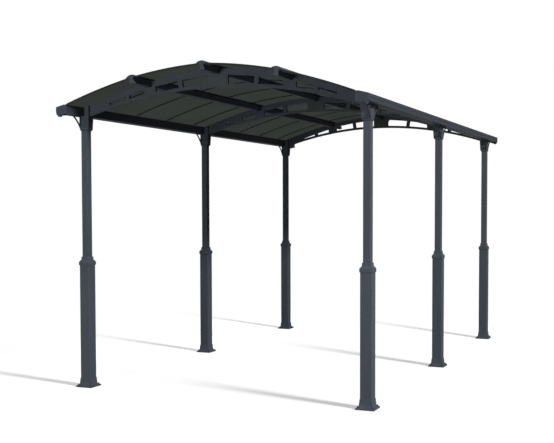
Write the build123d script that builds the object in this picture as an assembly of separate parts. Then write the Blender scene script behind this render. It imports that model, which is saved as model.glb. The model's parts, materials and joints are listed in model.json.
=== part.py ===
from build123d import *
import math
import os

# A tall open carport for a motorhome: six telescopic posts, three arched trusses made of two
# cut-out halves, three purlins, two gutters and a curved roof of clear panels.
# X runs across, Y along (front at -Y), Z up, in millimetres, with the feet on Z = 0.

# Layout of the posts and the length of the roof
row_gap = 3366
bay_length = 2848
bay_count = 2
roof_overhang = 380

# Posts and the wider sleeves round their lower ends
post_side = 80
post_wall = 3
post_corner = 4
sleeve_side = 125
sleeve_wall = 4
sleeve_corner = 5
sleeve_top = 1422

# Feet
foot_side = 200
foot_floor = 8
foot_edge = 20
foot_shoulder = 138
foot_shoulder_height = 72
foot_height = 103
foot_hole_spacing = 160
foot_hole = 11
foot_pad = 34

# Collars between post and sleeve
collar_band_side = 137
collar_band_lap = 30
collar_shoulder_height = 6
collar_slope_height = 29
collar_neck_side = 96
collar_neck_height = 31

# Post heads, which carry gutter and truss
head_height = 164
head_wall = 8
head_inner_reach = 26
head_inner_foot = 17
head_foot_height = 20
head_cheek = 14
head_plate = 6
head_chamfer = 7
arm_reach = 183
arm_foot = 18
arm_thick = 14
arm_bar = 12
arm_sag = 11

# Gutters
eave_height = 3076
gutter_height = 74
gutter_wall = 3.5
gutter_inner_offset = 8
gutter_outer_offset = 127
gutter_lip = 14
eave_lap = 20
cap_thick = 5
cap_rise = 29
outlet_across = 102
outlet_from_end = 30
outlet_radius = 24
outlet_bore = 20
outlet_length = 14
sump_width = 80
sump_depth = 15

# Roof line, from the underside of the gutters to the top of the panels
ridge_rise = 457
side_purlin_across = 849
side_purlin_rise = 353
panel_edge_rise = 97
inner_camber = 18
outer_camber = 14
panel_thick = 6
panel_count = 9
panel_joint = 3

# Purlins, with a slot at each side for the edge of the panels
web_width = 44
web_depth = 66
web_wall = 3
seat_width = 76
seat_thick = 4
cover_width = 120
cover_height = 27
cover_edge = 5
slot_play = 0.8
panel_room = 1

# Trusses, drawn as halves that meet under the ridge
truss_thick = 30
upper_chord = 66
lower_chord = 34
crown_rise = 252
centre_solid = 120
inner_strut_foot = 449
inner_strut_head = 463
inner_strut_width = 50
side_gusset_inside = 84
side_gusset_outside = 55
outer_strut_across = 1125
outer_strut_width = 51
taper_end = 1360
opening_corner = 9

# Plates that join the two halves of a truss at the ridge
gusset_half_width = 104
gusset_height = 92
gusset_thick = 4
gusset_corner = 10

# Clearance between pieces that fit into each other
fit = 0.3

gutter_bottom = eave_height
roof_half = bay_length * bay_count / 2 + roof_overhang
post_rows = [bay_length * (i - bay_count / 2) for i in range(bay_count + 1)]
row_names = ["front", "middle", "rear"]
side_names = {-1: "left", 1: "right"}
post_x = row_gap / 2
gutter_inner = post_x - gutter_inner_offset
gutter_outer = post_x + gutter_outer_offset
eave_x = gutter_inner + eave_lap
head_inner = post_x - post_side / 2 - head_inner_reach
post_top = gutter_bottom - head_plate
ridge_top = eave_height + ridge_rise
side_purlin_top = eave_height + side_purlin_rise
panel_edge_top = eave_height + panel_edge_rise
crown_height = eave_height + crown_rise


def write(name, *solids):
    """Write one node, as one solid or as several that don't touch."""
    shape = solids[0] if len(solids) == 1 else Compound(children=list(solids))
    export_step(shape, f"parts/{name}.step")


def along(face, start, end):
    """Run a section, drawn in X and Z, along Y."""
    return Pos(0, start, 0) * extrude(Plane.XZ * face, amount=end - start, dir=(0, 1, 0))


def square_turn(outline):
    """A square body from its half widths and heights, with mitred corners."""
    right = [(width, height) for width, height in outline]
    left = [(-width, height) for width, height in reversed(outline)]
    face = make_face(Polyline(*right, *left, close=True))
    reach = max(width for width, height in outline)
    across = along(face, -reach, reach)
    return across & Rot(0, 0, 90) * across


def square_tube(side, wall, corner, bottom, top):
    """An upright square hollow section."""
    section = RectangleRounded(side, side, corner) - Rectangle(side - 2 * wall, side - 2 * wall)
    return Pos(0, 0, bottom) * extrude(section, amount=top - bottom)


def square_bore(side, bottom, top):
    """An upright square cutter with a little room round the piece it lets in."""
    return Pos(0, 0, (bottom + top) / 2) * Box(side + 2 * fit, side + 2 * fit, top - bottom)


def make_foot():
    edge = foot_side / 2
    shoulder = foot_shoulder / 2
    neck = sleeve_side / 2 + 4
    skirt = [(edge, 0), (edge, foot_edge - 4), (edge - 4, foot_edge)]
    fall = foot_shoulder_height - foot_edge
    width = edge - 4 - shoulder
    steps = 6
    for step in range(1, steps + 1):
        turn = math.pi / 2 * step / steps
        skirt.append((edge - 4 - width * math.sin(turn), foot_edge + fall * (1 - math.cos(turn))))
    skirt += [(shoulder, foot_shoulder_height + 6), (neck, foot_shoulder_height + 8)]
    skirt += [(neck, foot_height - 3), (neck - 2, foot_height)]
    foot = square_turn(skirt) - square_bore(sleeve_side, foot_floor, foot_height + 1)
    pad = Box(foot_pad, foot_pad, foot_height)
    for x in (-1, 1):
        for y in (-1, 1):
            corner = Pos(x * (edge - foot_pad / 2), y * (edge - foot_pad / 2), 0)
            foot -= corner * Pos(0, 0, foot_edge + foot_height / 2) * pad
            hole = Pos(x * foot_hole_spacing / 2, y * foot_hole_spacing / 2, foot_edge / 2)
            foot -= hole * Cylinder(foot_hole / 2, 2 * foot_edge)
    return foot


def make_collar():
    band = collar_band_side / 2
    neck = collar_neck_side / 2
    bottom = sleeve_top - collar_band_lap
    band_top = sleeve_top + collar_shoulder_height
    slope_top = band_top + collar_slope_height
    top = slope_top + collar_neck_height
    outline = [(band, bottom), (band, band_top), (neck, slope_top), (neck, top - 3), (neck - 2, top)]
    collar = square_turn(outline) - square_bore(sleeve_side, bottom - 1, sleeve_top)
    return collar - square_bore(post_side, sleeve_top - 1, top + 1)


def head_arm_profile():
    """The bracket arms before and behind a post, drawn in Y and Z round the post's centre."""
    casing = post_side / 2 + head_wall
    foot = gutter_bottom - head_height + arm_foot
    tip = gutter_bottom - arm_bar
    centre, radius = arc_of((casing, foot), (arm_reach, tip), arm_sag)
    side = casing + arm_bar
    arm = Pos(arm_reach / 2, (foot + gutter_bottom) / 2) * Rectangle(arm_reach, gutter_bottom - foot)
    arm -= Pos(*centre) * Circle(radius)
    window = Pos((side + arm_reach) / 2, (foot + tip) / 2) * Rectangle(arm_reach - side, tip - foot)
    window -= Pos(*centre) * Circle(radius + arm_bar)
    half = arm - window
    return half + mirror(half, about=Plane.YZ)


def head_casing_profile():
    """The casing of a right-hand post head, drawn in X and Z round the post's centre."""
    half = post_side / 2
    outer = half + head_wall
    bottom = gutter_bottom - head_height
    edge = min(head_chamfer, head_wall - 1)
    return make_face(Polyline(
        (-half - head_inner_reach, gutter_bottom),
        (-half - head_inner_foot, bottom + head_foot_height),
        (-half - head_wall / 2, bottom),
        (outer - edge, bottom),
        (outer, bottom + edge),
        (outer, gutter_bottom),
        close=True))


def make_head():
    """The head of a right-hand post: casing, cheeks on the inner side, and bracket arms."""
    outer = post_side / 2 + head_wall
    bottom = gutter_bottom - head_height
    casing = along(head_casing_profile(), -outer, outer)
    ends = casing.faces().sort_by(Axis.Z)[0].edges().filter_by(Axis.X)
    casing = chamfer(ends, min(head_chamfer, head_wall - 1))
    pocket = Pos(-outer - head_inner_reach, 0, (bottom + post_top) / 2)
    pocket *= Box(2 * head_inner_reach, 2 * (outer - head_cheek), post_top - bottom)
    arms = extrude(Plane.YZ * head_arm_profile(), amount=arm_thick, dir=(1, 0, 0))
    head = casing - pocket + Pos(outer - arm_thick, 0, 0) * arms
    return head - square_bore(post_side, bottom - 1, post_top)


def arc_of(low, high, rise):
    """Centre and radius of the arc through two points that stands that far above its chord."""
    chord = math.dist(low, high)
    radius = chord**2 / (8 * rise) + rise / 2
    middle = ((low[0] + high[0]) / 2, (low[1] + high[1]) / 2)
    along_chord = ((high[0] - low[0]) / chord, (high[1] - low[1]) / chord)
    drop = radius - rise
    centre = (middle[0] + along_chord[1] * drop, middle[1] - along_chord[0] * drop)
    return centre, radius


def at_angle(arc, angle, depth=0.0):
    (x, z), radius = arc
    return (x + (radius - depth) * math.sin(angle), z + (radius - depth) * math.cos(angle))


def angle_at(arc, across, depth=0.0):
    (x, z), radius = arc
    return math.asin((across - x) / (radius - depth))


def band(arc, start, end, top_depth, bottom_depth):
    """The area between two depths below an arc, from one angle to another."""
    middle = (start + end) / 2
    return make_face([
        ThreePointArc(*(at_angle(arc, turn, top_depth) for turn in (start, middle, end))),
        Line(at_angle(arc, end, top_depth), at_angle(arc, end, bottom_depth)),
        ThreePointArc(*(at_angle(arc, turn, bottom_depth) for turn in (end, middle, start))),
        Line(at_angle(arc, start, bottom_depth), at_angle(arc, start, top_depth)),
    ])


inner_arc = arc_of((0, ridge_top), (side_purlin_across, side_purlin_top), inner_camber)
outer_arc = arc_of((side_purlin_across, side_purlin_top), (eave_x, panel_edge_top), outer_camber)
crown_sag = crown_height - gutter_bottom
lower_radius = (head_inner**2 + crown_sag**2) / (2 * crown_sag)
lower_arc = ((0, crown_height - lower_radius), lower_radius)
side_tilt = (angle_at(inner_arc, side_purlin_across) + angle_at(outer_arc, side_purlin_across)) / 2
side_place = Pos(side_purlin_across, side_purlin_top) * Rot(0, 0, -math.degrees(side_tilt))
ridge_place = Pos(0, ridge_top)


def purlin_edge(arc, across, side, tilt):
    """A roof arc with where a purlin's slot for it starts, its seat ends and the slot ends."""
    level = math.cos(tilt) * side / 2
    return arc, *(across + level * width for width in (web_width, seat_width, 2 * cover_width))


left_inner_arc = ((-inner_arc[0][0], inner_arc[0][1]), inner_arc[1])
ridge_edges = [purlin_edge(inner_arc, 0, 1, 0), purlin_edge(left_inner_arc, 0, -1, 0)]
side_edges = [
    purlin_edge(inner_arc, side_purlin_across, -1, side_tilt),
    purlin_edge(outer_arc, side_purlin_across, 1, side_tilt),
]


def seat_band(arc, start, end, room=0.0):
    """The ledge under the edge of the panels, from one X to another."""
    top = panel_thick + slot_play / 2
    return band(arc, angle_at(arc, start), angle_at(arc, end), top - room, top + seat_thick + room)


def purlin_outline(place, edges):
    """Web, panel seats and rounded cover of a purlin, with a slot for the panels at each edge."""
    half = cover_width / 2
    base = -panel_thick - slot_play
    cover = make_face([
        Line((-half, base), (half, base)),
        Line((half, base), (half, cover_edge)),
        ThreePointArc((half, cover_edge), (0, cover_height), (-half, cover_edge)),
        Line((-half, cover_edge), (-half, base)),
    ])
    outline = place * cover
    for arc, start, seat_end, end in edges:
        below = angle_at(arc, start), angle_at(arc, end)
        outline -= band(arc, min(below), max(below), -slot_play / 2, web_depth)
    outline += place * Pos(0, -web_depth / 2) * Rectangle(web_width, web_depth)
    for arc, start, seat_end, end in edges:
        middle = start - (seat_end - start) / 4
        outline += seat_band(arc, min(middle, seat_end), max(middle, seat_end))
    return outline


def purlin_section(place, edges):
    """A purlin's outline with the hollows of its web and of its cover."""
    room_top = panel_thick + slot_play + 2 * seat_thick
    room_height = web_depth - web_wall - room_top
    room = Pos(0, -room_top - room_height / 2)
    room *= Rectangle(web_width - 2 * web_wall, room_height)
    half = web_width
    cover_room = make_face([
        Line((-half, web_wall), (half, web_wall)),
        Line((half, web_wall), (half, cover_edge + web_wall)),
        ThreePointArc((half, cover_edge + web_wall), (0, cover_height - web_wall),
                      (-half, cover_edge + web_wall)),
        Line((-half, cover_edge + web_wall), (-half, web_wall)),
    ])
    return purlin_outline(place, edges) - place * room - place * cover_room


def purlin_notch(place, edges):
    """The room that a truss leaves for a purlin that rests in it."""
    notch = place * Pos(0, -web_depth / 2) * Rectangle(web_width + 2 * fit, web_depth)
    for arc, start, seat_end, end in edges:
        far = seat_end + math.copysign(fit, seat_end - start)
        notch += seat_band(arc, min(start, far), max(start, far), fit)
    return notch


def truss_half_section():
    """The right-hand half of a truss, with its openings and the notches for the purlins."""
    top = panel_thick + slot_play / 2
    reach = angle_at(outer_arc, gutter_inner, top)
    turn = angle_at(lower_arc, head_inner)
    kink = (side_purlin_across, inner_arc[0][1] + math.sqrt(
        (inner_arc[1] - top) ** 2 - (side_purlin_across - inner_arc[0][0]) ** 2))
    kink_angle = angle_at(outer_arc, side_purlin_across, top)
    kink_low = at_angle(outer_arc, kink_angle, top)
    crown = (0, inner_arc[0][1] + math.sqrt((inner_arc[1] - top) ** 2 - inner_arc[0][0] ** 2))
    inner_middle = at_angle(inner_arc, angle_at(inner_arc, side_purlin_across / 2), top)
    outer_middle = at_angle(outer_arc, (reach + kink_angle) / 2, top)
    end_top = at_angle(outer_arc, reach, top)
    body = make_face([
        ThreePointArc((0, crown_height), at_angle(lower_arc, turn / 2), (head_inner, gutter_bottom)),
        Line((head_inner, gutter_bottom), (gutter_inner, gutter_bottom)),
        Line((gutter_inner, gutter_bottom), end_top),
        ThreePointArc(end_top, outer_middle, kink_low),
        Line(kink_low, kink),
        ThreePointArc(kink, inner_middle, crown),
        Line(crown, (0, crown_height)),
    ])
    for opening in truss_openings():
        body -= opening
    body -= purlin_notch(ridge_place, ridge_edges[:1])
    return body - purlin_notch(side_place, side_edges)


def truss_openings():
    """The cut-outs between the chords, one at each side of the struts and gussets."""
    depth = panel_thick + upper_chord
    low = band(lower_arc, 0, angle_at(lower_arc, taper_end), -600, -lower_chord)
    inner = band(inner_arc, angle_at(inner_arc, 0, depth),
                 angle_at(inner_arc, side_purlin_across, depth), depth, depth + 600)
    outer = band(outer_arc, angle_at(outer_arc, side_purlin_across, depth),
                 angle_at(outer_arc, taper_end, depth), depth, depth + 600)
    middle = (crown_height + ridge_top) / 2
    tall = ridge_top - gutter_bottom
    lean = math.degrees(math.atan2(inner_strut_head - inner_strut_foot, upper_chord + lower_chord))
    gusset_middle = side_purlin_across + (side_gusset_outside - side_gusset_inside) / 2
    gusset_width = side_gusset_outside + side_gusset_inside
    struts = [
        Pos(0, middle) * Rectangle(2 * centre_solid, 2 * tall),
        Pos((inner_strut_foot + inner_strut_head) / 2, middle - lower_chord) * Rot(0, 0, -lean)
        * Rectangle(inner_strut_width, 2 * tall),
        Pos(gusset_middle, middle) * Rectangle(gusset_width, 2 * tall),
        Pos(outer_strut_across, middle) * Rectangle(outer_strut_width, 2 * tall),
    ]
    openings = []
    for area in (inner & low, outer & low):
        for strut in struts:
            area -= strut
        for face in area.faces():
            shortest = min(edge.length for edge in face.edges())
            openings.append(fillet(face.vertices(), min(opening_corner, shortest / 3)))
    return openings


def gutter_section():
    """The right-hand gutter: floor, walls, the lip outside and the panel rest inside."""
    rest_top = panel_thick + slot_play / 2
    near = angle_at(outer_arc, gutter_inner + gutter_wall / 2, rest_top)
    far = angle_at(outer_arc, eave_x, rest_top)
    top = gutter_bottom + gutter_height
    floor = Pos((gutter_inner + gutter_outer) / 2, gutter_bottom + gutter_wall / 2)
    floor *= Rectangle(gutter_outer - gutter_inner, gutter_wall)
    outer = Pos(gutter_outer - gutter_wall / 2, gutter_bottom + gutter_height / 2)
    outer *= Rectangle(gutter_wall, gutter_height)
    lip = Pos(gutter_outer - gutter_lip / 2, top - gutter_wall / 2)
    lip *= Rectangle(gutter_lip, gutter_wall)
    rest = band(outer_arc, near, far, rest_top, rest_top + gutter_wall)
    wall_point = at_angle(outer_arc, angle_at(outer_arc, gutter_inner, rest_top), rest_top)
    wall_top = at_angle(outer_arc, angle_at(outer_arc, gutter_inner + gutter_wall, rest_top), rest_top)
    inner = make_face(Polyline(
        (gutter_inner, gutter_bottom), (gutter_inner + gutter_wall, gutter_bottom),
        wall_top, wall_point, close=True))
    return floor + outer + lip + inner + rest


def make_gutter():
    length = roof_half - cap_thick
    gutter = along(gutter_section(), -length, length)
    for end in (-1, 1):
        place = Pos(gutter_inner + outlet_across, end * (roof_half - outlet_from_end), gutter_bottom)
        gutter -= place * Cylinder(outlet_bore, 4 * gutter_wall)
    return gutter


def make_gutter_cap():
    """The closed front end of the right-hand gutter, with the sump and spigot for a downpipe."""
    top = gutter_bottom + gutter_height
    low = gutter_bottom - cap_thick
    rise_x = gutter_inner + cap_rise
    rest_top = panel_thick + slot_play / 2
    inner_top = at_angle(outer_arc, angle_at(outer_arc, gutter_inner, rest_top), rest_top)
    peak = at_angle(outer_arc, angle_at(outer_arc, eave_x, rest_top), rest_top)
    plate = make_face([
        Line((gutter_inner, low), (gutter_outer - cap_rise, low)),
        ThreePointArc((gutter_outer - cap_rise, low),
                      (gutter_outer - cap_rise * 0.3, low + cap_rise * 0.3),
                      (gutter_outer, low + cap_rise)),
        Line((gutter_outer, low + cap_rise), (gutter_outer, top)),
        Line((gutter_outer, top), (rise_x, top + cap_rise - 2)),
        Line((rise_x, top + cap_rise - 2), (eave_x + slot_play, panel_edge_top)),
        Line((eave_x + slot_play, panel_edge_top), (eave_x + slot_play, peak[1])),
        Line((eave_x + slot_play, peak[1]), inner_top),
        Line(inner_top, (gutter_inner, low)),
    ])
    cap = along(plate, -roof_half, -roof_half + cap_thick)
    outlet = gutter_inner + outlet_across
    from_front = -roof_half + outlet_from_end
    sump = Pos(outlet + outlet_radius - sump_width / 2, from_front, gutter_bottom - sump_depth / 2)
    sump *= Box(sump_width, 2 * outlet_from_end, sump_depth)
    depth = sump_depth + outlet_length
    spigot = Pos(outlet, from_front, gutter_bottom - depth / 2) * Cylinder(outlet_radius, depth)
    bore = Pos(outlet, from_front, gutter_bottom) * Cylinder(outlet_bore, 4 * depth)
    return cap + sump + spigot - bore


def panels(arc, start, end):
    """One strip of panels between two angles of a roof arc, on the right-hand side."""
    face = band(arc, start, end, 0, panel_thick)
    pitch = 2 * roof_half / panel_count
    return [along(face, -roof_half + i * pitch + panel_joint / 2,
                  -roof_half + (i + 1) * pitch - panel_joint / 2) for i in range(panel_count)]


def make_gusset():
    """One plate over the ridge joint of a truss, in X and Z, at the front face."""
    low = crown_height + 8
    plate = Rectangle(2 * gusset_half_width, gusset_height)
    plate = Pos(0, low + gusset_height / 2) * chamfer(plate.vertices(), gusset_corner)
    return along(plate, -truss_thick / 2 - gusset_thick, -truss_thick / 2)


def both_ways(piece):
    return piece, mirror(piece, about=Plane.XZ)


os.makedirs("parts", exist_ok=True)

post = square_tube(post_side, post_wall, post_corner, foot_floor, post_top)
sleeve = square_tube(sleeve_side, sleeve_wall, sleeve_corner, foot_floor, sleeve_top)
foot = make_foot()
collar = make_collar()
head = make_head()
for row, y in zip(row_names, post_rows):
    for side, side_name in side_names.items():
        place = Pos(side * post_x, y, 0)
        write(f"post_{row}_{side_name}", place * post)
        write(f"sleeve_{row}_{side_name}", place * sleeve)
        write(f"foot_{row}_{side_name}", place * foot)
        turned = head if side == 1 else mirror(head, about=Plane.YZ)
        write(f"post_head_{row}_{side_name}", place * turned)
write("collars", *(Pos(side * post_x, y, 0) * collar for y in post_rows for side in side_names))

truss_half = along(truss_half_section(), -truss_thick / 2, truss_thick / 2)
gusset = make_gusset()
for row, y in zip(row_names, post_rows):
    write(f"truss_{row}_right", Pos(0, y, 0) * truss_half)
    write(f"truss_{row}_left", Pos(0, y, 0) * mirror(truss_half, about=Plane.YZ))
write("ridge_gussets", *(Pos(0, y, 0) * plate for y in post_rows for plate in both_ways(gusset)))

purlin_half = roof_half - cap_thick
ridge_purlin = along(purlin_section(ridge_place, ridge_edges), -purlin_half, purlin_half)
side_purlin = along(purlin_section(side_place, side_edges), -purlin_half, purlin_half)
write("purlin_ridge", ridge_purlin)
write("purlin_right", side_purlin)
write("purlin_left", mirror(side_purlin, about=Plane.YZ))
ridge_end = along(purlin_outline(ridge_place, ridge_edges), -roof_half, -purlin_half)
side_end = along(purlin_outline(side_place, side_edges), -roof_half, -purlin_half)
ends = [ridge_end, side_end, mirror(side_end, about=Plane.YZ)]
write("purlin_end_caps", *(piece for end in ends for piece in both_ways(end)))

gutter = make_gutter()
cap = make_gutter_cap()
write("gutter_right", gutter)
write("gutter_left", mirror(gutter, about=Plane.YZ))
caps = [cap, mirror(cap, about=Plane.YZ)]
write("gutter_end_caps", *(piece for one in caps for piece in both_ways(one)))

slot_floor = web_width / 2 + panel_room
inner_strip = panels(inner_arc, angle_at(inner_arc, slot_floor),
                     angle_at(inner_arc, side_purlin_across - slot_floor))
outer_strip = panels(outer_arc, angle_at(outer_arc, side_purlin_across + slot_floor),
                     angle_at(outer_arc, eave_x))
for name, strip in (("inner", inner_strip), ("outer", outer_strip)):
    write(f"roof_{name}_right", *strip)
    write(f"roof_{name}_left", *(mirror(panel, about=Plane.YZ) for panel in strip))
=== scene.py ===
import json
import math

import bmesh
import bpy
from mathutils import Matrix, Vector

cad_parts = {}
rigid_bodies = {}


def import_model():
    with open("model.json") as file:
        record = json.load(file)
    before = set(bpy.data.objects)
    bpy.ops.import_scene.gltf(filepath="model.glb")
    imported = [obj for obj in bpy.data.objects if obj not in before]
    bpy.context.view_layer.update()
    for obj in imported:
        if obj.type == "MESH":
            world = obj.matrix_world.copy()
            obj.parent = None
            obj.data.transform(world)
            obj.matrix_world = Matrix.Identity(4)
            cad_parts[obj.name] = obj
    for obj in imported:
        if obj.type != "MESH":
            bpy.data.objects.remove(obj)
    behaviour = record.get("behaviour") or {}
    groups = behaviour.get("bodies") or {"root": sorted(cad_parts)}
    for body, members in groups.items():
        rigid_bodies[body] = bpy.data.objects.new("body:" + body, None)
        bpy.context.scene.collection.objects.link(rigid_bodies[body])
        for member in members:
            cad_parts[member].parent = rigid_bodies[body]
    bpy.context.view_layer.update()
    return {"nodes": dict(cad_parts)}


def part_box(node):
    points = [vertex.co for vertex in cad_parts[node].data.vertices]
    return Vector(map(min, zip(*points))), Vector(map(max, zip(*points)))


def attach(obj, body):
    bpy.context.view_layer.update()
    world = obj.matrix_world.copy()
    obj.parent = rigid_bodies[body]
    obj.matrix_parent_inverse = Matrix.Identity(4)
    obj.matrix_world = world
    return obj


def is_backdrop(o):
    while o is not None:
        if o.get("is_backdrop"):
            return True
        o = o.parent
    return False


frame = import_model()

# The carport's looks: powder-coated profiles, moulded covers, bronze roof sheet, and the small
# parts that hold them. Metres, X across, Y to the rear, Z up, feet on Z = 0.

nodes = frame["nodes"]
ROWS = ("front", "middle", "rear")
SIDES = ("left", "right")


def centre_of(node):
    low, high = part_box(node)
    return (low + high) / 2


post_x = centre_of("post_front_right").x
row_gap = 2 * post_x


# Nodes, node groups and materials

def new_group(name, inputs, outputs):
    """A shader node group with its named sockets."""
    group = bpy.data.node_groups.new(name, "ShaderNodeTree")
    for label, kind in inputs:
        group.interface.new_socket(label, in_out="INPUT", socket_type=kind)
    for label, kind in outputs:
        group.interface.new_socket(label, in_out="OUTPUT", socket_type=kind)
    return group, group.nodes.new("NodeGroupInput"), group.nodes.new("NodeGroupOutput")


def add_node(tree, kind, **settings):
    """One node, with its properties by name and its sockets by label or number."""
    node = tree.nodes.new(kind)
    sockets = settings.pop("sockets", {})
    for key, value in settings.items():
        setattr(node, key, value)
    for key, value in sockets.items():
        if isinstance(value, bpy.types.NodeSocket):
            tree.links.new(value, node.inputs[key])
        else:
            node.inputs[key].default_value = value
    return node


def calculate(tree, operation, first, second):
    """The result of one step of arithmetic on two values."""
    node = add_node(tree, "ShaderNodeMath", operation=operation, sockets={0: first, 1: second})
    return node.outputs[0]


def smooth_step(tree, value, start, end, low=0.0, high=1.0):
    """A smooth change from low to high while a value goes from start to end."""
    node = add_node(tree, "ShaderNodeMapRange", interpolation_type="SMOOTHSTEP", sockets={
        "Value": value, "From Min": start, "From Max": end, "To Min": low, "To Max": high})
    return node.outputs[0]


def is_seen(tree):
    """1 where a surface is looked at, straight, in a reflection or through a sheet."""
    path = add_node(tree, "ShaderNodeLightPath")
    direct = calculate(tree, "MAXIMUM", path.outputs["Is Camera Ray"],
                       path.outputs["Is Glossy Ray"])
    return calculate(tree, "MAXIMUM", direct, path.outputs["Is Transmission Ray"])


PEEL_SHARE = 0.35


def grain_group():
    """Fine peel of a baked coat or a moulded skin, with soft clouds of colour and gloss."""
    group, entry, leave = new_group(
        "skin_grain",
        [("Vector", "NodeSocketVector"), ("Grain", "NodeSocketFloat"),
         ("Clouds", "NodeSocketFloat"), ("Dark", "NodeSocketColor"), ("Light", "NodeSocketColor"),
         ("Gloss Low", "NodeSocketFloat"), ("Gloss High", "NodeSocketFloat")],
        [("Color", "NodeSocketColor"), ("Roughness", "NodeSocketFloat"),
         ("Height", "NodeSocketFloat")])
    peel = add_node(group, "ShaderNodeTexNoise", sockets={
        "Vector": entry.outputs["Vector"], "Scale": entry.outputs["Grain"], "Detail": 2.0})
    clouds = add_node(group, "ShaderNodeTexNoise", sockets={
        "Vector": entry.outputs["Vector"], "Scale": entry.outputs["Clouds"], "Detail": 5.0,
        "Roughness": 0.62})
    blend = add_node(group, "ShaderNodeMath", operation="MULTIPLY_ADD", sockets={
        0: peel.outputs["Fac"], 1: PEEL_SHARE, 2: clouds.outputs["Fac"]})
    share = add_node(group, "ShaderNodeMapRange", sockets={
        "Value": blend.outputs[0], "From Min": 0.5, "From Max": 0.85})
    colour = add_node(group, "ShaderNodeMix", data_type="RGBA", sockets={
        0: share.outputs[0], 6: entry.outputs["Dark"], 7: entry.outputs["Light"]})
    gloss = add_node(group, "ShaderNodeMapRange", sockets={
        "Value": clouds.outputs["Fac"], "From Min": 0.3, "From Max": 0.7,
        "To Min": entry.outputs["Gloss Low"], "To Max": entry.outputs["Gloss High"]})
    group.links.new(colour.outputs[2], leave.inputs["Color"])
    group.links.new(gloss.outputs[0], leave.inputs["Roughness"])
    group.links.new(peel.outputs["Fac"], leave.inputs["Height"])
    return group


SKIN_GRAIN = grain_group()


def new_material(name):
    material = bpy.data.materials.new(name)
    material.use_nodes = True
    tree = material.node_tree
    tree.nodes.clear()
    shader = tree.nodes.new("ShaderNodeBsdfPrincipled")
    output = tree.nodes.new("ShaderNodeOutputMaterial")
    tree.links.new(shader.outputs[0], output.inputs["Surface"])
    return material, tree, shader


def coated(name, tones, gloss, grain, clouds=3.0, stretch=(1, 1, 1), bump=0.06, **plain):
    """A coated or moulded skin between a dark and a light tone, and a low and a high roughness.

    stretch draws the grain out along a profile, and plain holds the shader's own constants."""
    material, tree, shader = new_material(name)
    place = add_node(tree, "ShaderNodeTexCoord")
    mapping = add_node(tree, "ShaderNodeMapping", sockets={
        "Vector": place.outputs["Object"], "Scale": stretch})
    dark, light = tones
    skin = add_node(tree, "ShaderNodeGroup", node_tree=SKIN_GRAIN, sockets={
        "Vector": mapping.outputs[0], "Grain": grain, "Clouds": clouds,
        "Dark": (*dark, 1), "Light": (*light, 1),
        "Gloss Low": gloss[0], "Gloss High": gloss[1]})
    bumps = add_node(tree, "ShaderNodeBump", sockets={
        "Strength": bump, "Distance": 0.0006, "Height": skin.outputs["Height"]})
    tree.links.new(skin.outputs["Color"], shader.inputs["Base Color"])
    tree.links.new(skin.outputs["Roughness"], shader.inputs["Roughness"])
    tree.links.new(bumps.outputs[0], shader.inputs["Normal"])
    for label, value in plain.items():
        shader.inputs[label.replace("_", " ")].default_value = value
    return material


PROFILE_TONES = (0.046, 0.054, 0.065), (0.060, 0.070, 0.084)
# The trusses' tones are the frame's coat made darker: painted shade under the roof
TRUSS_SHADED_TONES = (0.034, 0.040, 0.047), (0.044, 0.051, 0.060)
GUSSET_TONES = (0.034, 0.042, 0.045), (0.045, 0.054, 0.058)
# The gutters' tones are the frame's coat made darker: painted shade
GUTTER_SHADED_TONES = (0.024, 0.029, 0.036), (0.031, 0.037, 0.045)
MOULDING_TONES = (0.047, 0.055, 0.066), (0.062, 0.072, 0.086)
HEAD_TONES = (0.036, 0.042, 0.051), (0.047, 0.055, 0.066)
# Dark joint tone of the seam strips, also used as painted shade on the edge channels
JOINT_AND_SHADE_TONES = (0.014, 0.015, 0.017), (0.022, 0.024, 0.027)
RUBBER_TONES = (0.010, 0.010, 0.011), (0.018, 0.018, 0.019)
BOLT_TONES = (0.030, 0.034, 0.040), (0.050, 0.056, 0.064)
SHEET_TONES = (0.058, 0.067, 0.059), (0.068, 0.077, 0.069)
COAT_GLOSS = (0.56, 0.68)
MOULDED_GLOSS = (0.6, 0.7)
STRIP_GLOSS = (0.5, 0.6)
RUBBER_GLOSS = (0.7, 0.85)
BOLT_GLOSS = (0.35, 0.5)
SHEET_GLOSS = (0.22, 0.32)
UPRIGHT_GRAIN = (1, 1, 0.15)
LENGTH_GRAIN = (1, 0.15, 1)
MATT = 0.02

upright_coat = coated("upright_powder_coat", PROFILE_TONES, COAT_GLOSS, grain=700,
                      stretch=UPRIGHT_GRAIN, Specular_IOR_Level=MATT)
length_coat = coated("rail_powder_coat", PROFILE_TONES, COAT_GLOSS, grain=700,
                     stretch=LENGTH_GRAIN, Specular_IOR_Level=MATT)
# Painted shade: the trusses wear the frame's coat in a darker tone
truss_shaded_coat = coated("truss_powder_coat_painted_shade", TRUSS_SHADED_TONES, COAT_GLOSS, grain=800,
                    Specular_IOR_Level=MATT)
gusset_coat = coated("gusset_powder_coat", GUSSET_TONES, COAT_GLOSS, grain=500,
                     Specular_IOR_Level=MATT)
# Painted shade: the gutters and their ribs wear the frame's coat in a darker tone
gutter_shaded_coat = coated("gutter_powder_coat_painted_shade", GUTTER_SHADED_TONES, COAT_GLOSS, grain=700,
                     stretch=LENGTH_GRAIN, Specular_IOR_Level=MATT)
moulding = coated("moulded_cover", MOULDING_TONES, MOULDED_GLOSS, grain=420,
                  clouds=6.0, bump=0.12, Specular_IOR_Level=MATT)
head_moulding = coated("moulded_head", HEAD_TONES, MOULDED_GLOSS, grain=420,
                       clouds=6.0, bump=0.12, Specular_IOR_Level=MATT)
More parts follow.
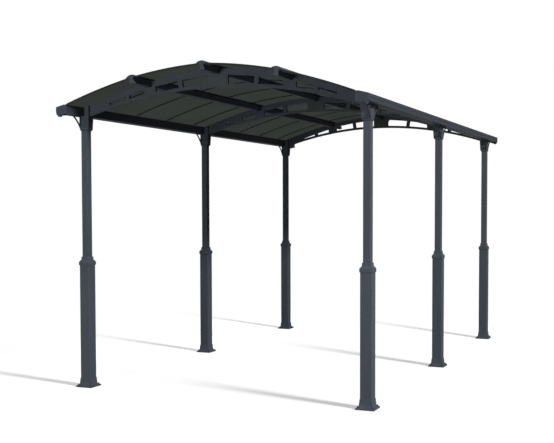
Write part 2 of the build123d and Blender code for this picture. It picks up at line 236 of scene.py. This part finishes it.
# Dark joints on the seam strips, and painted shade on the edge channels
joint_and_shade_coat = coated("joint_strip_and_painted_shade", JOINT_AND_SHADE_TONES, STRIP_GLOSS, grain=500, Specular_IOR_Level=MATT)
gasket = coated("rubber_gasket", RUBBER_TONES, RUBBER_GLOSS, grain=260,
                bump=0.15, Specular_IOR_Level=0.05)
bolt_coat = coated("dark_bolt", BOLT_TONES, BOLT_GLOSS, grain=900,
                   clouds=40.0, Specular_IOR_Level=0.15)


def tinted_sheet():
    """Bronze-tinted sheet: light comes through it, and only its weather side is glossy."""
    material = coated("bronze_roof_sheet", SHEET_TONES, SHEET_GLOSS, grain=300, clouds=1.2,
                      bump=0.03, IOR=1.0, Transmission_Weight=0.7, Specular_IOR_Level=MATT,
                      Coat_Roughness=0.3)
    tree = material.node_tree
    shader = next(node for node in tree.nodes if node.type == "BSDF_PRINCIPLED")
    place = add_node(tree, "ShaderNodeTexCoord")
    facing = add_node(tree, "ShaderNodeSeparateXYZ", sockets={0: place.outputs["Normal"]})
    weather_side = add_node(tree, "ShaderNodeMapRange", sockets={
        "Value": facing.outputs["Z"], "From Min": 0.3, "From Max": 0.5, "To Min": 0.0,
        "To Max": 0.5})
    tree.links.new(weather_side.outputs[0], shader.inputs["Coat Weight"])
    return material


roof_sheet = tinted_sheet()


def paint(node, material):
    """Give a CAD node its finish."""
    mesh = nodes[node].data
    mesh.materials.clear()
    mesh.materials.append(material)


for row in ROWS:
    for side in SIDES:
        paint(f"post_{row}_{side}", upright_coat)
        paint(f"sleeve_{row}_{side}", upright_coat)
        paint(f"foot_{row}_{side}", moulding)
        paint(f"post_head_{row}_{side}", head_moulding)
        paint(f"truss_{row}_{side}", truss_shaded_coat)
for name in ("purlin_end_caps", "gutter_end_caps"):
    paint(name, head_moulding)
paint("collars", moulding)
for name in ("purlin_ridge", "purlin_left", "purlin_right"):
    paint(name, length_coat)
for side in SIDES:
    paint(f"gutter_{side}", gutter_shaded_coat)
paint("ridge_gussets", gusset_coat)
for band in ("inner", "outer"):
    for side in SIDES:
        paint(f"roof_{band}_{side}", roof_sheet)


# Making pieces

HAIR = 1e-5


def settle(piece, name, material):
    """Name a finished piece, apply its place, turn its faces outwards and hang it on the frame."""
    bpy.ops.object.mode_set(mode="OBJECT")
    bpy.ops.object.select_all(action="DESELECT")
    piece.select_set(True)
    bpy.context.view_layer.objects.active = piece
    bpy.ops.object.transform_apply(location=True, rotation=True, scale=True)
    bpy.ops.object.mode_set(mode="EDIT")
    bpy.ops.mesh.select_all(action="SELECT")
    bpy.ops.mesh.remove_doubles(threshold=HAIR)
    bpy.ops.mesh.normals_make_consistent(inside=False)
    bpy.ops.object.mode_set(mode="OBJECT")
    piece.name = piece.data.name = name
    piece.data.materials.clear()
    piece.data.materials.append(material)
    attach(piece, "root")


def pick(piece, kind, wanted):
    """Enter edit mode and select the edges or faces that wanted accepts."""
    bpy.ops.object.mode_set(mode="EDIT")
    bpy.ops.mesh.select_mode(type=kind)
    bpy.ops.mesh.select_all(action="DESELECT")
    shape = bmesh.from_edit_mesh(piece.data)
    for item in shape.edges if kind == "EDGE" else shape.faces:
        if wanted(item):
            item.select_set(True)
    bmesh.update_edit_mesh(piece.data)


def copy_piece(piece, place, turn=(0, 0, 0)):
    """A copy with its own mesh, at another place."""
    twin = piece.copy()
    twin.data = piece.data.copy()
    bpy.context.scene.collection.objects.link(twin)
    twin.location = place
    twin.rotation_euler = turn
    return twin


def join(pieces):
    """Make one piece of several, each with its place in the mesh."""
    bpy.ops.object.select_all(action="DESELECT")
    for piece in pieces:
        piece.select_set(True)
    bpy.context.view_layer.objects.active = pieces[0]
    bpy.ops.object.transform_apply(location=True, rotation=True, scale=True)
    if len(pieces) > 1:
        bpy.ops.object.join()
    return bpy.context.object


def mirrored(piece):
    """The same piece on the other side of the ridge."""
    twin = copy_piece(piece, (0, 0, 0))
    twin.scale = (-1, 1, 1)
    return join([twin])


def discard(piece):
    bpy.data.meshes.remove(piece.data)


def new_section(columns, rows, gone):
    """A flat section in Y and Z at X = 0, of the cells between columns and rows, less the gone."""
    bpy.ops.object.select_all(action="DESELECT")
    bpy.ops.mesh.primitive_grid_add(x_subdivisions=len(columns) - 1, y_subdivisions=len(rows) - 1,
                                    size=2, rotation=(math.pi / 2, 0, math.pi / 2))
    section = bpy.context.object
    bpy.ops.object.mode_set(mode="EDIT")
    shape = bmesh.from_edit_mesh(section.data)
    for point in shape.verts:
        column = round((point.co.x + 1) / 2 * (len(columns) - 1))
        row = round((point.co.y + 1) / 2 * (len(rows) - 1))
        point.co.x = columns[column]
        point.co.y = rows[row]
    bmesh.update_edit_mesh(section.data)

    def is_gone(face):
        middle = face.calc_center_median()
        column = sum(edge < middle.x for edge in columns) - 1
        row = sum(edge < middle.y for edge in rows) - 1
        return (column, row) in gone

    pick(section, "FACE", is_gone)
    bpy.ops.mesh.delete(type="FACE")
    bpy.ops.object.mode_set(mode="OBJECT")
    bpy.ops.object.transform_apply(location=True, rotation=True, scale=True)
    return section


def half_round(place, length, radius, sides, facing):
    """A bead along Y with a flat back, whose round side faces the given way."""
    bpy.ops.object.select_all(action="DESELECT")
    bpy.ops.mesh.primitive_cylinder_add(vertices=sides, radius=radius, depth=length,
                                        location=place, rotation=(math.pi / 2, 0, 0))
    bead = bpy.context.object
    bpy.ops.object.transform_apply(location=True, rotation=True, scale=True)
    pick(bead, "FACE", lambda face: True)
    bpy.ops.mesh.bisect(plane_co=place, plane_no=facing, clear_inner=True, use_fill=True)
    bpy.ops.object.mode_set(mode="OBJECT")
    return bead


# The roof's arcs, read from the sheets

def circle_through(first, second, third):
    """Centre and radius of the circle through three points."""
    a, b = second - first, third - first
    double = 2 * (a.x * b.y - a.y * b.x)
    centre = Vector(((b.y * a.length_squared - a.y * b.length_squared) / double,
                     (a.x * b.length_squared - b.x * a.length_squared) / double))
    return first + centre, centre.length


class Arc:
    """The top of a roof sheet, right of the ridge, as a circle in X and Z."""

    def __init__(self, node):
        points = [Vector((point.co.x, point.co.z)) for point in nodes[node].data.vertices]
        high = max(points, key=lambda point: point.y)
        low = max(points, key=lambda point: point.x)
        chord = low - high
        across = Vector((-chord.y, chord.x)).normalized()
        top = max(points, key=lambda point: (point - high).dot(across))
        self.centre, self.radius = circle_through(high, top, low)
        self.end = low.x

    def turn_at(self, x):
        return math.asin((x - self.centre.x) / self.radius)

    def height_at(self, x):
        return self.centre.y + self.radius * math.cos(self.turn_at(x))


inner_arc = Arc("roof_inner_right")
outer_arc = Arc("roof_outer_right")
purlin_x = centre_of("purlin_right").x
roof_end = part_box("gutter_end_caps")[1].y
COVER_HALF = 0.062
SHEET_THICK = 0.006
SHEET_COUNT = 9
SHEET_JOINT = 0.003
sheet_edge = roof_end - SHEET_JOINT / 2
seam_pitch = 2 * roof_end / SHEET_COUNT


def sweep(section, arc, start, end, steps):
    """Carry a section along a roof arc from one X to another."""
    begin, finish = arc.turn_at(start), arc.turn_at(end)
    pick(section, "FACE", lambda face: True)
    bpy.ops.mesh.spin(steps=steps, angle=begin - finish, center=(0, 0, 0), axis=(0, 1, 0))
    bpy.ops.object.mode_set(mode="OBJECT")
    section.location = (arc.centre.x, 0, arc.centre.y)
    section.rotation_euler = (0, begin, 0)
    bpy.ops.object.transform_apply(location=True, rotation=True, scale=True)
    return section


# Trim

# From the sheet's face to the near and the far face of a trim's flange
TRIM_PLAY, TRIM_FAR = 0.0002, 0.0018
TRIM_EAVE_GAP = 0.027
INNER_STEPS, OUTER_STEPS = 16, 14
SEAM_HALF, SEAM_WEB_HALF = 0.011, 0.001
CHANNEL_LAP = 0.016
CHANNEL_DROP = 0.012
CHANNEL_PAST_END = 0.0004

BEAD_RADIUS, BEAD_SIDES = 0.004, 16
RIB_RADIUS, RIB_SIDES = 0.003, 20
RIB_RISE = 0.042

CHEEK_INSET = 0.001
CHEEK_SHEET_GAP = 0.003
CHEEK_ROUNDING = 0.005
# The height of the plain block that a cheek starts as, and a level between its foot and its top
BLOCK_HEIGHT, BLOCK_MIDDLE = 0.08, 0.01


def make_roof_trims():
    """Strips along the seams between the sheets, and channels over the roof's front and rear."""
    seams = [(step - SHEET_COUNT / 2) * seam_pitch for step in range(1, SHEET_COUNT)]
    eave = outer_arc.end - TRIM_EAVE_GAP
    spans = (("inner", inner_arc, COVER_HALF, purlin_x - COVER_HALF, INNER_STEPS),
             ("outer", outer_arc, purlin_x + COVER_HALF, eave, OUTER_STEPS))
    for label, arc, start, end, steps in spans:
        top = arc.radius
        under = top - SHEET_THICK
        flanges = (under - TRIM_FAR, under - TRIM_PLAY, top + TRIM_PLAY, top + TRIM_FAR)
        strip = new_section((-SEAM_HALF, -SEAM_WEB_HALF, SEAM_WEB_HALF, SEAM_HALF), flanges,
                            {(0, 1), (2, 1)})
        strip = sweep(strip, arc, start, end, steps)
        strips = join([copy_piece(strip, (0, seam, 0)) for seam in seams])
        discard(strip)
        columns = (sheet_edge - CHANNEL_LAP, sheet_edge + TRIM_PLAY, roof_end + CHANNEL_PAST_END)
        channel = new_section(columns, (under - CHANNEL_DROP, *flanges), {(0, 0), (0, 2)})
        channel = sweep(channel, arc, start, end, steps)
        front = copy_piece(channel, (0, 0, 0))
        front.scale = (1, -1, 1)
        channels = join([channel, front])
        for side, turn in (("right", lambda piece: piece), ("left", mirrored)):
            settle(turn(strips), f"seam_strips_{label}_{side}", joint_and_shade_coat)
            # The edge channels take the dark joint tone as painted shade under their flanges
            settle(turn(channels), f"edge_channels_{label}_{side}", joint_and_shade_coat)


def make_gaskets():
    """Half-round beads that close the covers of the purlins on the sheets."""
    lines = ((inner_arc, COVER_HALF), (inner_arc, purlin_x - COVER_HALF),
             (outer_arc, purlin_x + COVER_HALF))
    beads = []
    for arc, x in lines:
        lean = arc.turn_at(x)
        for side in (-1, 1):
            place = (side * x, 0, arc.height_at(x))
            facing = (side * math.sin(lean), 0, math.cos(lean))
            beads.append(half_round(place, 2 * sheet_edge, BEAD_RADIUS, BEAD_SIDES, facing))
    settle(join(beads), "cover_gaskets", gasket)


def make_gutter_ribs():
    """A half-round rib along the outer face of each gutter."""
    ribs = []
    for side in SIDES:
        low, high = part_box(f"gutter_{side}")
        face_x = low.x if side == "left" else high.x
        place = (face_x, 0, low.z + RIB_RISE)
        facing = (math.copysign(1, face_x), 0, 0)
        ribs.append(half_round(place, high.y - low.y, RIB_RADIUS, RIB_SIDES, facing))
    settle(join(ribs), "gutter_ribs", gutter_shaded_coat)


def make_head_cheeks():
    """Moulded blocks that rise from each post head, before and behind the truss, to the sheets."""
    for row in ROWS:
        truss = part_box(f"truss_{row}_right")
        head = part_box(f"post_head_{row}_right")
        middle = centre_of(f"post_{row}_right")
        depth = head[1].x - middle.x
        inside, outside = head[0].x, truss[1].x - CHEEK_INSET
        base = head[1].z
        blocks = []
        for near, far in ((truss[0].y, middle.y - depth), (truss[1].y, middle.y + depth)):
            bpy.ops.object.select_all(action="DESELECT")
            bpy.ops.mesh.primitive_cube_add(
                size=1,
                location=((inside + outside) / 2, (near + far) / 2, base + BLOCK_HEIGHT / 2),
                scale=(outside - inside, abs(far - near), BLOCK_HEIGHT))
            block = bpy.context.object
            bpy.ops.object.transform_apply(location=True, rotation=True, scale=True)
            bpy.ops.object.mode_set(mode="EDIT")
            shape = bmesh.from_edit_mesh(block.data)
            for point in shape.verts:
                if point.co.z > base + BLOCK_MIDDLE:
                    point.co.z = outer_arc.height_at(point.co.x) - SHEET_THICK - CHEEK_SHEET_GAP
            bmesh.update_edit_mesh(block.data)
            pick(block, "EDGE", lambda edge: (
                all(abs(point.co.y - far) < HAIR for point in edge.verts)
                and any(point.co.z > base + BLOCK_MIDDLE for point in edge.verts)))
            bpy.ops.mesh.bevel(offset=CHEEK_ROUNDING, segments=3, affect="EDGES")
            bpy.ops.object.mode_set(mode="OBJECT")
            blocks.append(block)
        cheeks = join(blocks)
        settle(mirrored(cheeks), f"head_cheeks_{row}_left", head_moulding)
        settle(cheeks, f"head_cheeks_{row}_right", head_moulding)


# Anchors, bolts and screws

FACING_FRONT = (math.pi / 2, 0, 0)
FACING_REAR = (-math.pi / 2, 0, 0)
FACING_RIGHT = (0, math.pi / 2, 0)
FACING_LEFT = (0, -math.pi / 2, 0)

ANCHOR_GAP = 0.160
PAD_TOP = 0.020
NUT_TURN, NEXT_NUT_TURN = 0.3, 1.1
GUSSET_BOLTS = (-0.030, 0.030)
GUSSET_BOLT_RISE = 0.014
# How far in from the truss's end and above its foot
CHEEK_BOLTS = ((0.017, 0.024), (0.041, 0.060))
SCREW_RISES = (0.030, 0.120)
SOCKET_RIM, SOCKET_DEPTH = 0.0018, 0.0016


def turned_part(radius, height, base, sides, bevel, steps=1):
    """A round or hexagonal head on Z, its upper rim bevelled."""
    bpy.ops.object.select_all(action="DESELECT")
    bpy.ops.mesh.primitive_cylinder_add(vertices=sides, radius=radius, depth=height,
                                        location=(0, 0, base + height / 2))
    head = bpy.context.object
    bpy.ops.object.transform_apply(location=True, rotation=True, scale=True)
    rim = base + height - HAIR
    pick(head, "EDGE", lambda edge: all(point.co.z > rim for point in edge.verts))
    bpy.ops.mesh.bevel(offset=bevel, segments=steps, affect="EDGES")
    bpy.ops.object.mode_set(mode="OBJECT")
    return head


def make_anchor():
    """A ground anchor: washer, hexagonal nut and the end of its rod."""
    washer = turned_part(radius=0.0115, height=0.002, base=0, sides=24, bevel=0.0005)
    nut = turned_part(radius=0.0095, height=0.008, base=0.002, sides=6, bevel=0.0009)
    rod = turned_part(radius=0.005, height=0.006, base=0.010, sides=14, bevel=0.0012)
    return join([washer, nut, rod])


def make_bolt():
    """A hexagonal bolt head on its washer."""
    washer = turned_part(radius=0.0105, height=0.0018, base=0, sides=20, bevel=0.0004)
    head = turned_part(radius=0.008, height=0.0055, base=0.0018, sides=6, bevel=0.0008)
    return join([washer, head])


def make_screw():
    """A pan-head screw with a round socket."""
    head = turned_part(radius=0.0055, height=0.0035, base=0, sides=18, bevel=0.0014, steps=3)
    pick(head, "FACE", lambda face: face.normal.z > 0.99 and len(face.verts) > 4)
    bpy.ops.mesh.inset(thickness=SOCKET_RIM)
    bpy.ops.mesh.extrude_region_move(TRANSFORM_OT_translate={"value": (0, 0, -SOCKET_DEPTH)})
    bpy.ops.object.mode_set(mode="OBJECT")
    return head


def make_anchors():
    """Four anchors in each foot, each nut turned its own way."""
    anchor = make_anchor()
    for row in ROWS:
        for side in SIDES:
            middle = centre_of(f"foot_{row}_{side}")
            spots = [(middle.x + x * ANCHOR_GAP / 2, middle.y + y * ANCHOR_GAP / 2, PAD_TOP)
                     for x in (-1, 1) for y in (-1, 1)]
            copies = [copy_piece(anchor, spot, (0, 0, NUT_TURN + NEXT_NUT_TURN * number))
                      for number, spot in enumerate(spots)]
            settle(join(copies), f"ground_anchors_{row}_{side}", bolt_coat)
    discard(anchor)


def make_truss_bolts():
    """Two bolts low on each ridge gusset, and two on each head cheek, front and rear."""
    bolt = make_bolt()
    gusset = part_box("ridge_gussets")
    rows_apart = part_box("truss_rear_right")[0].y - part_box("truss_front_right")[0].y
    plate = (gusset[1].y - gusset[0].y - rows_apart) / 2
    for row in ROWS:
        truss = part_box(f"truss_{row}_right")
        middle = centre_of(f"truss_{row}_right").y
        faces = ((middle - plate, FACING_FRONT), (middle + plate, FACING_REAR))
        copies = [copy_piece(bolt, (x, y, gusset[0].z + GUSSET_BOLT_RISE), turn)
                  for x in GUSSET_BOLTS for y, turn in faces]
        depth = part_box(f"post_head_{row}_right")[1].x - post_x
        faces = ((middle - depth, FACING_FRONT), (middle + depth, FACING_REAR))
        copies += [copy_piece(bolt, (side * (truss[1].x - inset), y, truss[0].z + rise), turn)
                   for side in (-1, 1) for y, turn in faces for inset, rise in CHEEK_BOLTS]
        settle(join(copies), f"truss_bolts_{row}", bolt_coat)
    discard(bolt)


def make_head_screws():
    """Screws through the post heads: two each on the outer, front and rear faces."""
    screw = make_screw()
    for row in ROWS:
        for side in SIDES:
            low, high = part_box(f"post_head_{row}_{side}")
            middle = centre_of(f"post_{row}_{side}")
            outside, out_turn = ((low.x, FACING_LEFT) if side == "left"
                                 else (high.x, FACING_RIGHT))
            depth = abs(outside - middle.x)
            faces = ((outside, middle.y, out_turn), (middle.x, middle.y - depth, FACING_FRONT),
                     (middle.x, middle.y + depth, FACING_REAR))
            copies = [copy_piece(screw, (x, y, low.z + rise), turn)
                      for x, y, turn in faces for rise in SCREW_RISES]
            settle(join(copies), f"head_screws_{row}_{side}", bolt_coat)
    discard(screw)


# Floor, light and camera

KEY_PLACE = (17.7, -7.26, 10.5)
FRONT_PLACE = (-1.2, -9.75, 2.3)

FLOOR_SIZE = 400
FLOOR_DROP = 0.0006
# The tone is the distance to the key lamp to this power, times this scale
FLOOR_TONE_POWER = 3.0
FLOOR_TONE_SCALE = 8.6e-5
FLOOR_BOUNCE_TONE = 0.20
FLOOR_LIFT = 0.48
# Half the band, round the left row, over which the floor turns from one row's fade to the other's
ROW_CHANGE = 0.1
# Where the floor turns white: left of each row of posts, right of the right row, and along Y
LEFT_FADES, LEFT_ENDS = 1.2, 3.2
RIGHT_FADES, RIGHT_ENDS = 0.12, 0.4
REAR_FADES, REAR_ENDS = 4.2, 6.0

SKY_DARK, SKY_BRIGHT = 0.03, 0.75
SKY_RISE_STARTS, SKY_RISE_ENDS = 0.3, 1.35

CAMERA_PLACE = (4.760, -12.047, 2.042)
CAMERA_DIP, CAMERA_ROLL, CAMERA_HEADING = 2.363, 0.036, 21.855
CAMERA_LENS = 62.40
CAMERA_SHIFT = (-0.0623, 0.0467)


def make_floor():
    """A pale floor that keeps the shadows near the posts and fades to white beyond them.

    Its tone rises with the distance to the key lamp, so that it looks equally white all over.
    The light that it throws back on the carport is that of one darker, even tone."""
    bpy.ops.object.select_all(action="DESELECT")
    bpy.ops.mesh.primitive_plane_add(size=FLOOR_SIZE, location=(0, 0, -FLOOR_DROP))
    floor = bpy.context.object
    floor.name = "floor"
    material = bpy.data.materials.new("pale_floor")
    material.use_nodes = True
    tree = material.node_tree
    tree.nodes.clear()
    seen = is_seen(tree)
    place = add_node(tree, "ShaderNodeTexCoord")
    reach = add_node(tree, "ShaderNodeVectorMath", operation="DISTANCE", sockets={
        0: place.outputs["Object"], 1: KEY_PLACE})
    growth = calculate(tree, "POWER", reach.outputs[1], FLOOR_TONE_POWER)
    even = calculate(tree, "MULTIPLY", growth, FLOOR_TONE_SCALE)
    tone = add_node(tree, "ShaderNodeMix", data_type="FLOAT", sockets={
        0: seen, 2: FLOOR_BOUNCE_TONE, 3: even})
    paper = add_node(tree, "ShaderNodeBsdfDiffuse", sockets={"Color": tone.outputs[0]})
    lift = add_node(tree, "ShaderNodeEmission", sockets={
        "Strength": calculate(tree, "MULTIPLY", seen, FLOOR_LIFT)})
    cloth = add_node(tree, "ShaderNodeAddShader", sockets={0: paper.outputs[0], 1: lift.outputs[0]})

    across = add_node(tree, "ShaderNodeSeparateXYZ", sockets={0: place.outputs["Object"]})
    row = add_node(tree, "ShaderNodeMapRange", sockets={
        "Value": across.outputs["X"], "From Min": -post_x - ROW_CHANGE,
        "From Max": -post_x + ROW_CHANGE, "To Min": -row_gap, "To Max": 0.0})
    near = calculate(tree, "SUBTRACT", row.outputs[0], across.outputs["X"])
    left = smooth_step(tree, near, LEFT_FADES - post_x, LEFT_ENDS - post_x)
    right = smooth_step(tree, across.outputs["X"], post_x + RIGHT_FADES, post_x + RIGHT_ENDS)
    rear = smooth_step(tree, across.outputs["Y"], REAR_FADES, REAR_ENDS)
    white = calculate(tree, "MAXIMUM", calculate(tree, "MAXIMUM", left, right), rear)
    glow = add_node(tree, "ShaderNodeEmission", sockets={"Strength": 1.0})
    mix = add_node(tree, "ShaderNodeMixShader", sockets={
        0: calculate(tree, "MULTIPLY", white, seen), 1: cloth.outputs[0], 2: glow.outputs[0]})
    output = add_node(tree, "ShaderNodeOutputMaterial")
    tree.links.new(mix.outputs[0], output.inputs["Surface"])
    floor.data.materials.append(material)
    floor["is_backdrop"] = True


def make_world():
    """White to look at, and soft light from behind on the left."""
    world = bpy.data.worlds.new("studio")
    bpy.context.scene.world = world
    world.use_nodes = True
    tree = world.node_tree
    tree.nodes.clear()
    place = add_node(tree, "ShaderNodeTexCoord")
    heading = add_node(tree, "ShaderNodeSeparateXYZ", sockets={0: place.outputs["Generated"]})
    behind_left = calculate(tree, "SUBTRACT", heading.outputs["Y"], heading.outputs["X"])
    level = smooth_step(tree, behind_left, SKY_RISE_STARTS, SKY_RISE_ENDS, SKY_DARK, SKY_BRIGHT)
    strength = add_node(tree, "ShaderNodeMix", data_type="FLOAT", sockets={
        0: is_seen(tree), 2: level, 3: 1.0})
    sky = add_node(tree, "ShaderNodeBackground", sockets={
        "Color": (1, 1, 1, 1), "Strength": strength.outputs[0]})
    output = add_node(tree, "ShaderNodeOutputWorld")
    tree.links.new(sky.outputs[0], output.inputs["Surface"])


def make_lamp(name, place, target, size, level):
    """A square lamp that lights a white wall at its target to this level.

    It is hidden from rays through the roof sheets, which would show it as a white glint."""
    data = bpy.data.lights.new(name, "AREA")
    lamp = bpy.data.objects.new(name, data)
    bpy.context.scene.collection.objects.link(lamp)
    lamp.location = place
    way = Vector(target) - lamp.location
    lamp.rotation_euler = way.to_track_quat("-Z", "Y").to_euler()
    data.shape = "SQUARE"
    data.size = size
    data.energy = level * math.pi**2 * way.length_squared
    lamp.visible_transmission = False
    return lamp


def light_only_pieces(lamp):
    """Keep a lamp off the floor, which then shows the key lamp's shadows alone."""
    lit = bpy.data.collections.new("lit_pieces")
    for obj in bpy.context.scene.objects:
        if obj.type == "MESH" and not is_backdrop(obj):
            lit.objects.link(obj)
    lamp.light_linking.receiver_collection = lit


def make_camera():
    """The photograph's camera, solved from the feet, the posts and the eaves."""
    data = bpy.data.cameras.new("photo_camera")
    camera = bpy.data.objects.new("photo_camera", data)
    bpy.context.scene.collection.objects.link(camera)
    camera.location = CAMERA_PLACE
    camera.rotation_euler = (math.radians(90 - CAMERA_DIP), math.radians(CAMERA_ROLL),
                             math.radians(CAMERA_HEADING))
    data.sensor_width = 36
    data.lens = CAMERA_LENS
    data.shift_x, data.shift_y = CAMERA_SHIFT
    data.clip_end = 500
    bpy.context.scene.camera = camera


make_roof_trims()
make_gaskets()
make_gutter_ribs()
make_head_cheeks()
make_anchors()
make_truss_bolts()
make_head_screws()
make_floor()
make_world()
make_lamp("key_lamp", KEY_PLACE, target=(0, 0, 0.5), size=2.4, level=1.14)
light_only_pieces(make_lamp("front_lamp", FRONT_PLACE, target=(0, -2.85, 2.5), size=2.0,
                            level=0.84))
make_camera()
bpy.context.scene.view_settings.view_transform = "Standard"
